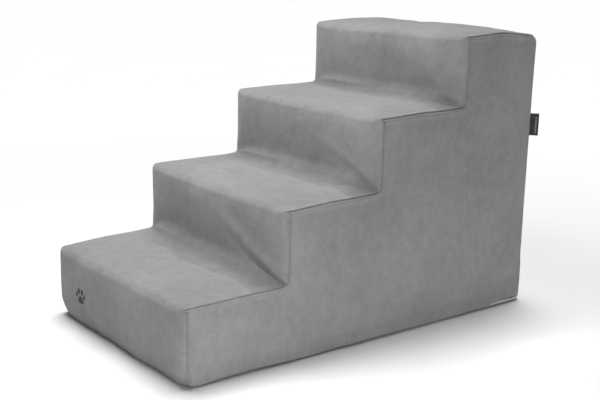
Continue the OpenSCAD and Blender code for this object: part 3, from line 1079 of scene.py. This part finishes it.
def closed_tube(line, radius, sides):
    """A tube along a closed flat loop of (s, w, n) points."""
    along = np.roll(line, -1, axis=0) - np.roll(line, 1, axis=0)
    along /= np.linalg.norm(along, axis=1, keepdims=True)
    up = np.tile((0, 0, 1.0), (len(line), 1))
    return around(line, np.cross(along, up), up, radius, sides), ring_faces(len(line), sides, closed=True)


def make_stops():
    y = node_box("zip_top_stops")[0][1]
    clips = [solid(rounded_rectangle((0, w), (2.5, w + 1.6), 0.4), 0.02, 1.4, 0.3) for w in (0.7, -2.3)]
    make_metal_piece("zip_top_stop_clips", "zip_top_stops", "root", clips, y)
    bar = [solid(rounded_rectangle((0, -2.3), (2.5, 2.3), 0.6), 0.02, 1.4, 0.35)]
    make_metal_piece("zip_bottom_stop_box", "zip_bottom_stop", "root", bar, y, side=1)


make_slider()
make_pull()
make_stops()


# ---- Labels and print ----


def make_side_label():
    """A folded satin loop sewn into the right back seam, on the slant of the corner."""
    low, high = node_box("side_label")
    s = Shader("label_satin", Roughness=0.45, Sheen_Weight=0.3, Specular_IOR_Level=0.5)
    where = s.axes()
    # A row of plain dashes up the label's middle
    dash_pitch, dash_half_width, dashes_half_length = 0.0042, 1.1, 0.0145
    row = s.sine(where[2], 2 * math.pi / dash_pitch)
    across = s.times(s.math("SUBTRACT", where[0], (HALF_W + 1.8) * MM), 1000.0)
    band = s.math("LESS_THAN", s.math("ABSOLUTE", across), dash_half_width)
    middle = (low[2] + high[2]) / 2 * MM
    up_from_middle = s.math("ABSOLUTE", s.math("SUBTRACT", where[2], middle))
    inside = s.math("LESS_THAN", up_from_middle, dashes_half_length)
    mark = s.times(s.times(s.math("GREATER_THAN", row, 0.0), band), inside)
    threads = s.sine(where[2], 2 * math.pi / 0.0006)
    s.colour(mark, (0.012, 0.012, 0.014, 1), (0.33, 0.33, 0.33, 1))
    s.bump(threads, 0.00006)
    cx, cy = HALF_W - CORNER_R, BACK - CORNER_R
    reach = math.hypot(high[0] - cx, high[1] - cy)
    root = CORNER_R - 1.6
    loop = []
    for t in np.linspace(0, 1, 12):
        loop.append((root + (reach - 0.6 - root) * t, 0.16 + 0.22 * math.sin(math.pi * t)))
    for a in np.linspace(0.2, math.pi - 0.2, 6):
        loop.append((reach - 0.6 + 0.45 * math.sin(a), 0.2 * math.cos(a)))
    loop += [(r, -w) for r, w in loop[11::-1]]
    zs = np.linspace(low[2], high[2], 14)
    points = []
    # The further out from the seam, the more the label sways
    for r, w in loop:
        for z in zs:
            sway = math.sin((z - low[2]) / (high[2] - low[2]) * 2.6 + 0.4)
            w_at = w - 0.9 * ((r - root) / (reach - root)) ** 2 * sway
            points.append((cx + (r - w_at) * math.sqrt(0.5), cy + (r + w_at) * math.sqrt(0.5), z))
    p, f = closed_sheet(np.array(points), grid_faces(len(loop), len(zs)), 0.14)
    label = new_mesh("side_label_loop", p, f, s.material)
    claim(label, "root", "side_label")


def make_care_label():
    low, high = node_box("care_label")
    s = Shader("care_ribbon", Roughness=0.5, Sheen_Weight=0.2)
    threads = s.sine(s.axes()[2], 9000.0)
    s.colour(s.noise(80), (0.74, 0.74, 0.72, 1), (0.84, 0.84, 0.82, 1))
    s.bump(threads, 0.00005)
    xs, zs = np.linspace(low[0], high[0], 10), np.linspace(low[2], high[2], 14)
    y = BACK - FOAM_INSET + 4.7
    points = [(x, y + 1.2 * math.sin((z - low[2]) / 24) * (z - low[2]) / 50, z) for x in xs for z in zs]
    p, f = closed_sheet(np.array(points), grid_faces(10, 14), 0.2)
    label = new_mesh("care_label_ribbon", p, f, s.material)
    claim(label, "root", "care_label")


def make_print():
    """A generic paw of plain rounded spots, laid on the front face."""
    low, high = node_box("front_print")
    s = Shader("print_ink", Roughness=0.7, Specular_IOR_Level=0.3)
    s.colour(s.noise(700, detail=4), (0.03, 0.03, 0.032, 1), (0.07, 0.07, 0.074, 1))
    s.bump(s.noise(1400), 0.0002)
    cx, cz, w = (low[0] + high[0]) / 2, (low[2] + high[2]) / 2, high[0] - low[0]
    spots = [(0, -0.17 * w, 0.25 * w, 0.20 * w, 0)]
    for turn, r in ((-66, 0.098), (-23, 0.115), (23, 0.115), (66, 0.098)):
        a = math.radians(turn)
        spots.append((0.42 * w * math.sin(a), 0.40 * w * math.cos(a) - 0.1 * w, r * w, r * 1.3 * w, -a * 0.4))
    parts = []
    rings, count = 5, 28
    for sx, sz, rx, rz, turn in spots:
        points = [(sx, sz)]
        for k in range(1, rings + 1):
            for a in np.arange(count) * 2 * math.pi / count:
                lobe = 1 + (0.10 * math.cos(3 * (a - math.pi / 2)) if sx == 0 else 0)
                u, v = rx * k / rings * math.cos(a) * lobe, rz * k / rings * math.sin(a) * lobe
                du, dv = math.cos(turn), math.sin(turn)
                points.append((sx + u * du - v * dv, sz + u * dv + v * du))
        flat = [front_point(band_surface, cx + u, cz + v, 0.35) for u, v in points]
        back = [front_point(band_surface, cx + u, cz + v, 0.05) for u, v in points]
        n = len(points)
        faces = [(0, 1 + b, 1 + (b + 1) % count) for b in range(count)]
        faces += turned(ring_faces(rings, count, 1))
        faces += [tuple(i + n for i in f[::-1]) for f in faces]
        rim = 1 + (rings - 1) * count
        edges = [(rim + k, rim + (k + 1) % count) for k in range(count)]
        faces += [(a, a + n, b + n, b) for a, b in edges]
        parts.append((flat + back, faces))
    points, faces = joined(parts)
    claim(new_mesh("front_paw_print", points, faces, s.material), "root", "front_print")


make_side_label()
make_care_label()
make_print()


# ---- Floor, light and camera ----


def make_stage():
    s = Shader("floor_paint_and_glow", Roughness=0.9, Specular_IOR_Level=0.2)
    tone = s.mix(s.noise(3, detail=2), (0.76, 0.76, 0.76, 1), (0.79, 0.79, 0.79, 1))
    s.link(tone, "Base Color")
    s.link(tone, "Emission Color")
    # The floor glows in its own colour: not at all within half a metre of the object, more and more out to
    # 1.8 m
    distance = s.add("ShaderNodeVectorMath", {0: s.place()}, operation="LENGTH").outputs["Value"]
    s.link(s.spread(distance, 0.5, 1.8, 0.0, 0.26), "Emission Strength")
    # The floor is far wider than the view, and just below the base
    size = 40000
    p = [(-size, -size, -0.5), (size, -size, -0.5), (size, size, -0.5), (-size, size, -0.5)]
    floor = new_mesh("studio_floor", p, [(0, 1, 2, 3)], s.material, smooth=False)
    world = bpy.data.worlds.new("studio")
    bpy.context.scene.world = world
    world.use_nodes = True
    # The surround is pale at the horizon and dim overhead
    nodes, links = world.node_tree.nodes, world.node_tree.links
    split = nodes.new("ShaderNodeSeparateXYZ")
    links.new(nodes.new("ShaderNodeTexCoord").outputs["Generated"], split.inputs[0])
    fade = nodes.new("ShaderNodeMapRange")
    fade.interpolation_type = "SMOOTHSTEP"
    links.new(split.outputs[2], fade.inputs["Value"])
    for socket, value in (("From Min", 0.0), ("From Max", 0.22), ("To Min", 0.85), ("To Max", 0.03)):
        fade.inputs[socket].default_value = value
    nodes["Background"].inputs[0].default_value = (1, 1, 1, 1)
    links.new(fade.outputs["Result"], nodes["Background"].inputs[1])


def area_light(name, place, aim, size, power, colour):
    lamp = bpy.data.lights.new(name, "AREA")
    lamp.energy, lamp.size, lamp.color = power, size, colour
    made = add_object(name, lamp)
    made.visible_camera = False
    made.location = place
    made.rotation_euler = (Vector(aim) - Vector(place)).to_track_quat("-Z", "Y").to_euler()


def make_camera():
    right = (0.61022, 0.79192, 0.02219)
    up = (-0.20732, 0.13258, 0.96925)
    back = (0.76463, -0.59605, 0.24509)
    place = (1.465, -1.1425, 0.6613)
    camera = bpy.data.cameras.new("camera")
    camera.lens = 66.76
    camera.sensor_width = 36
    made = add_object("camera", camera)
    made.matrix_world = Matrix([[*row, at] for row, at in zip(zip(right, up, back), place)] + [[0, 0, 0, 1]])
    bpy.context.scene.camera = made


make_stage()
sun = bpy.data.lights.new("overhead", "SUN")
sun.energy, sun.angle = 3.25, math.radians(36)
add_object("overhead", sun).rotation_euler = (math.radians(-11), math.radians(-9), 0)
area_light("front_soft", (-0.2, -0.38, 1.04), (0, 0.1, 0.36), 0.6, 5.8, (0.98, 0.975, 1.0))
area_light("side_soft", (0.72, -0.52, 0.08), (0.2, -0.2, 0.08), 0.15, 2.0, (0.95, 0.95, 1.0))
area_light("rear_soft", (0.5, 0.2, 0.05), (0.2, 0.2, 0.05), 0.09, 0.2, (0.98, 0.98, 1.0))
make_camera()
bpy.context.scene.view_settings.view_transform = "Standard"
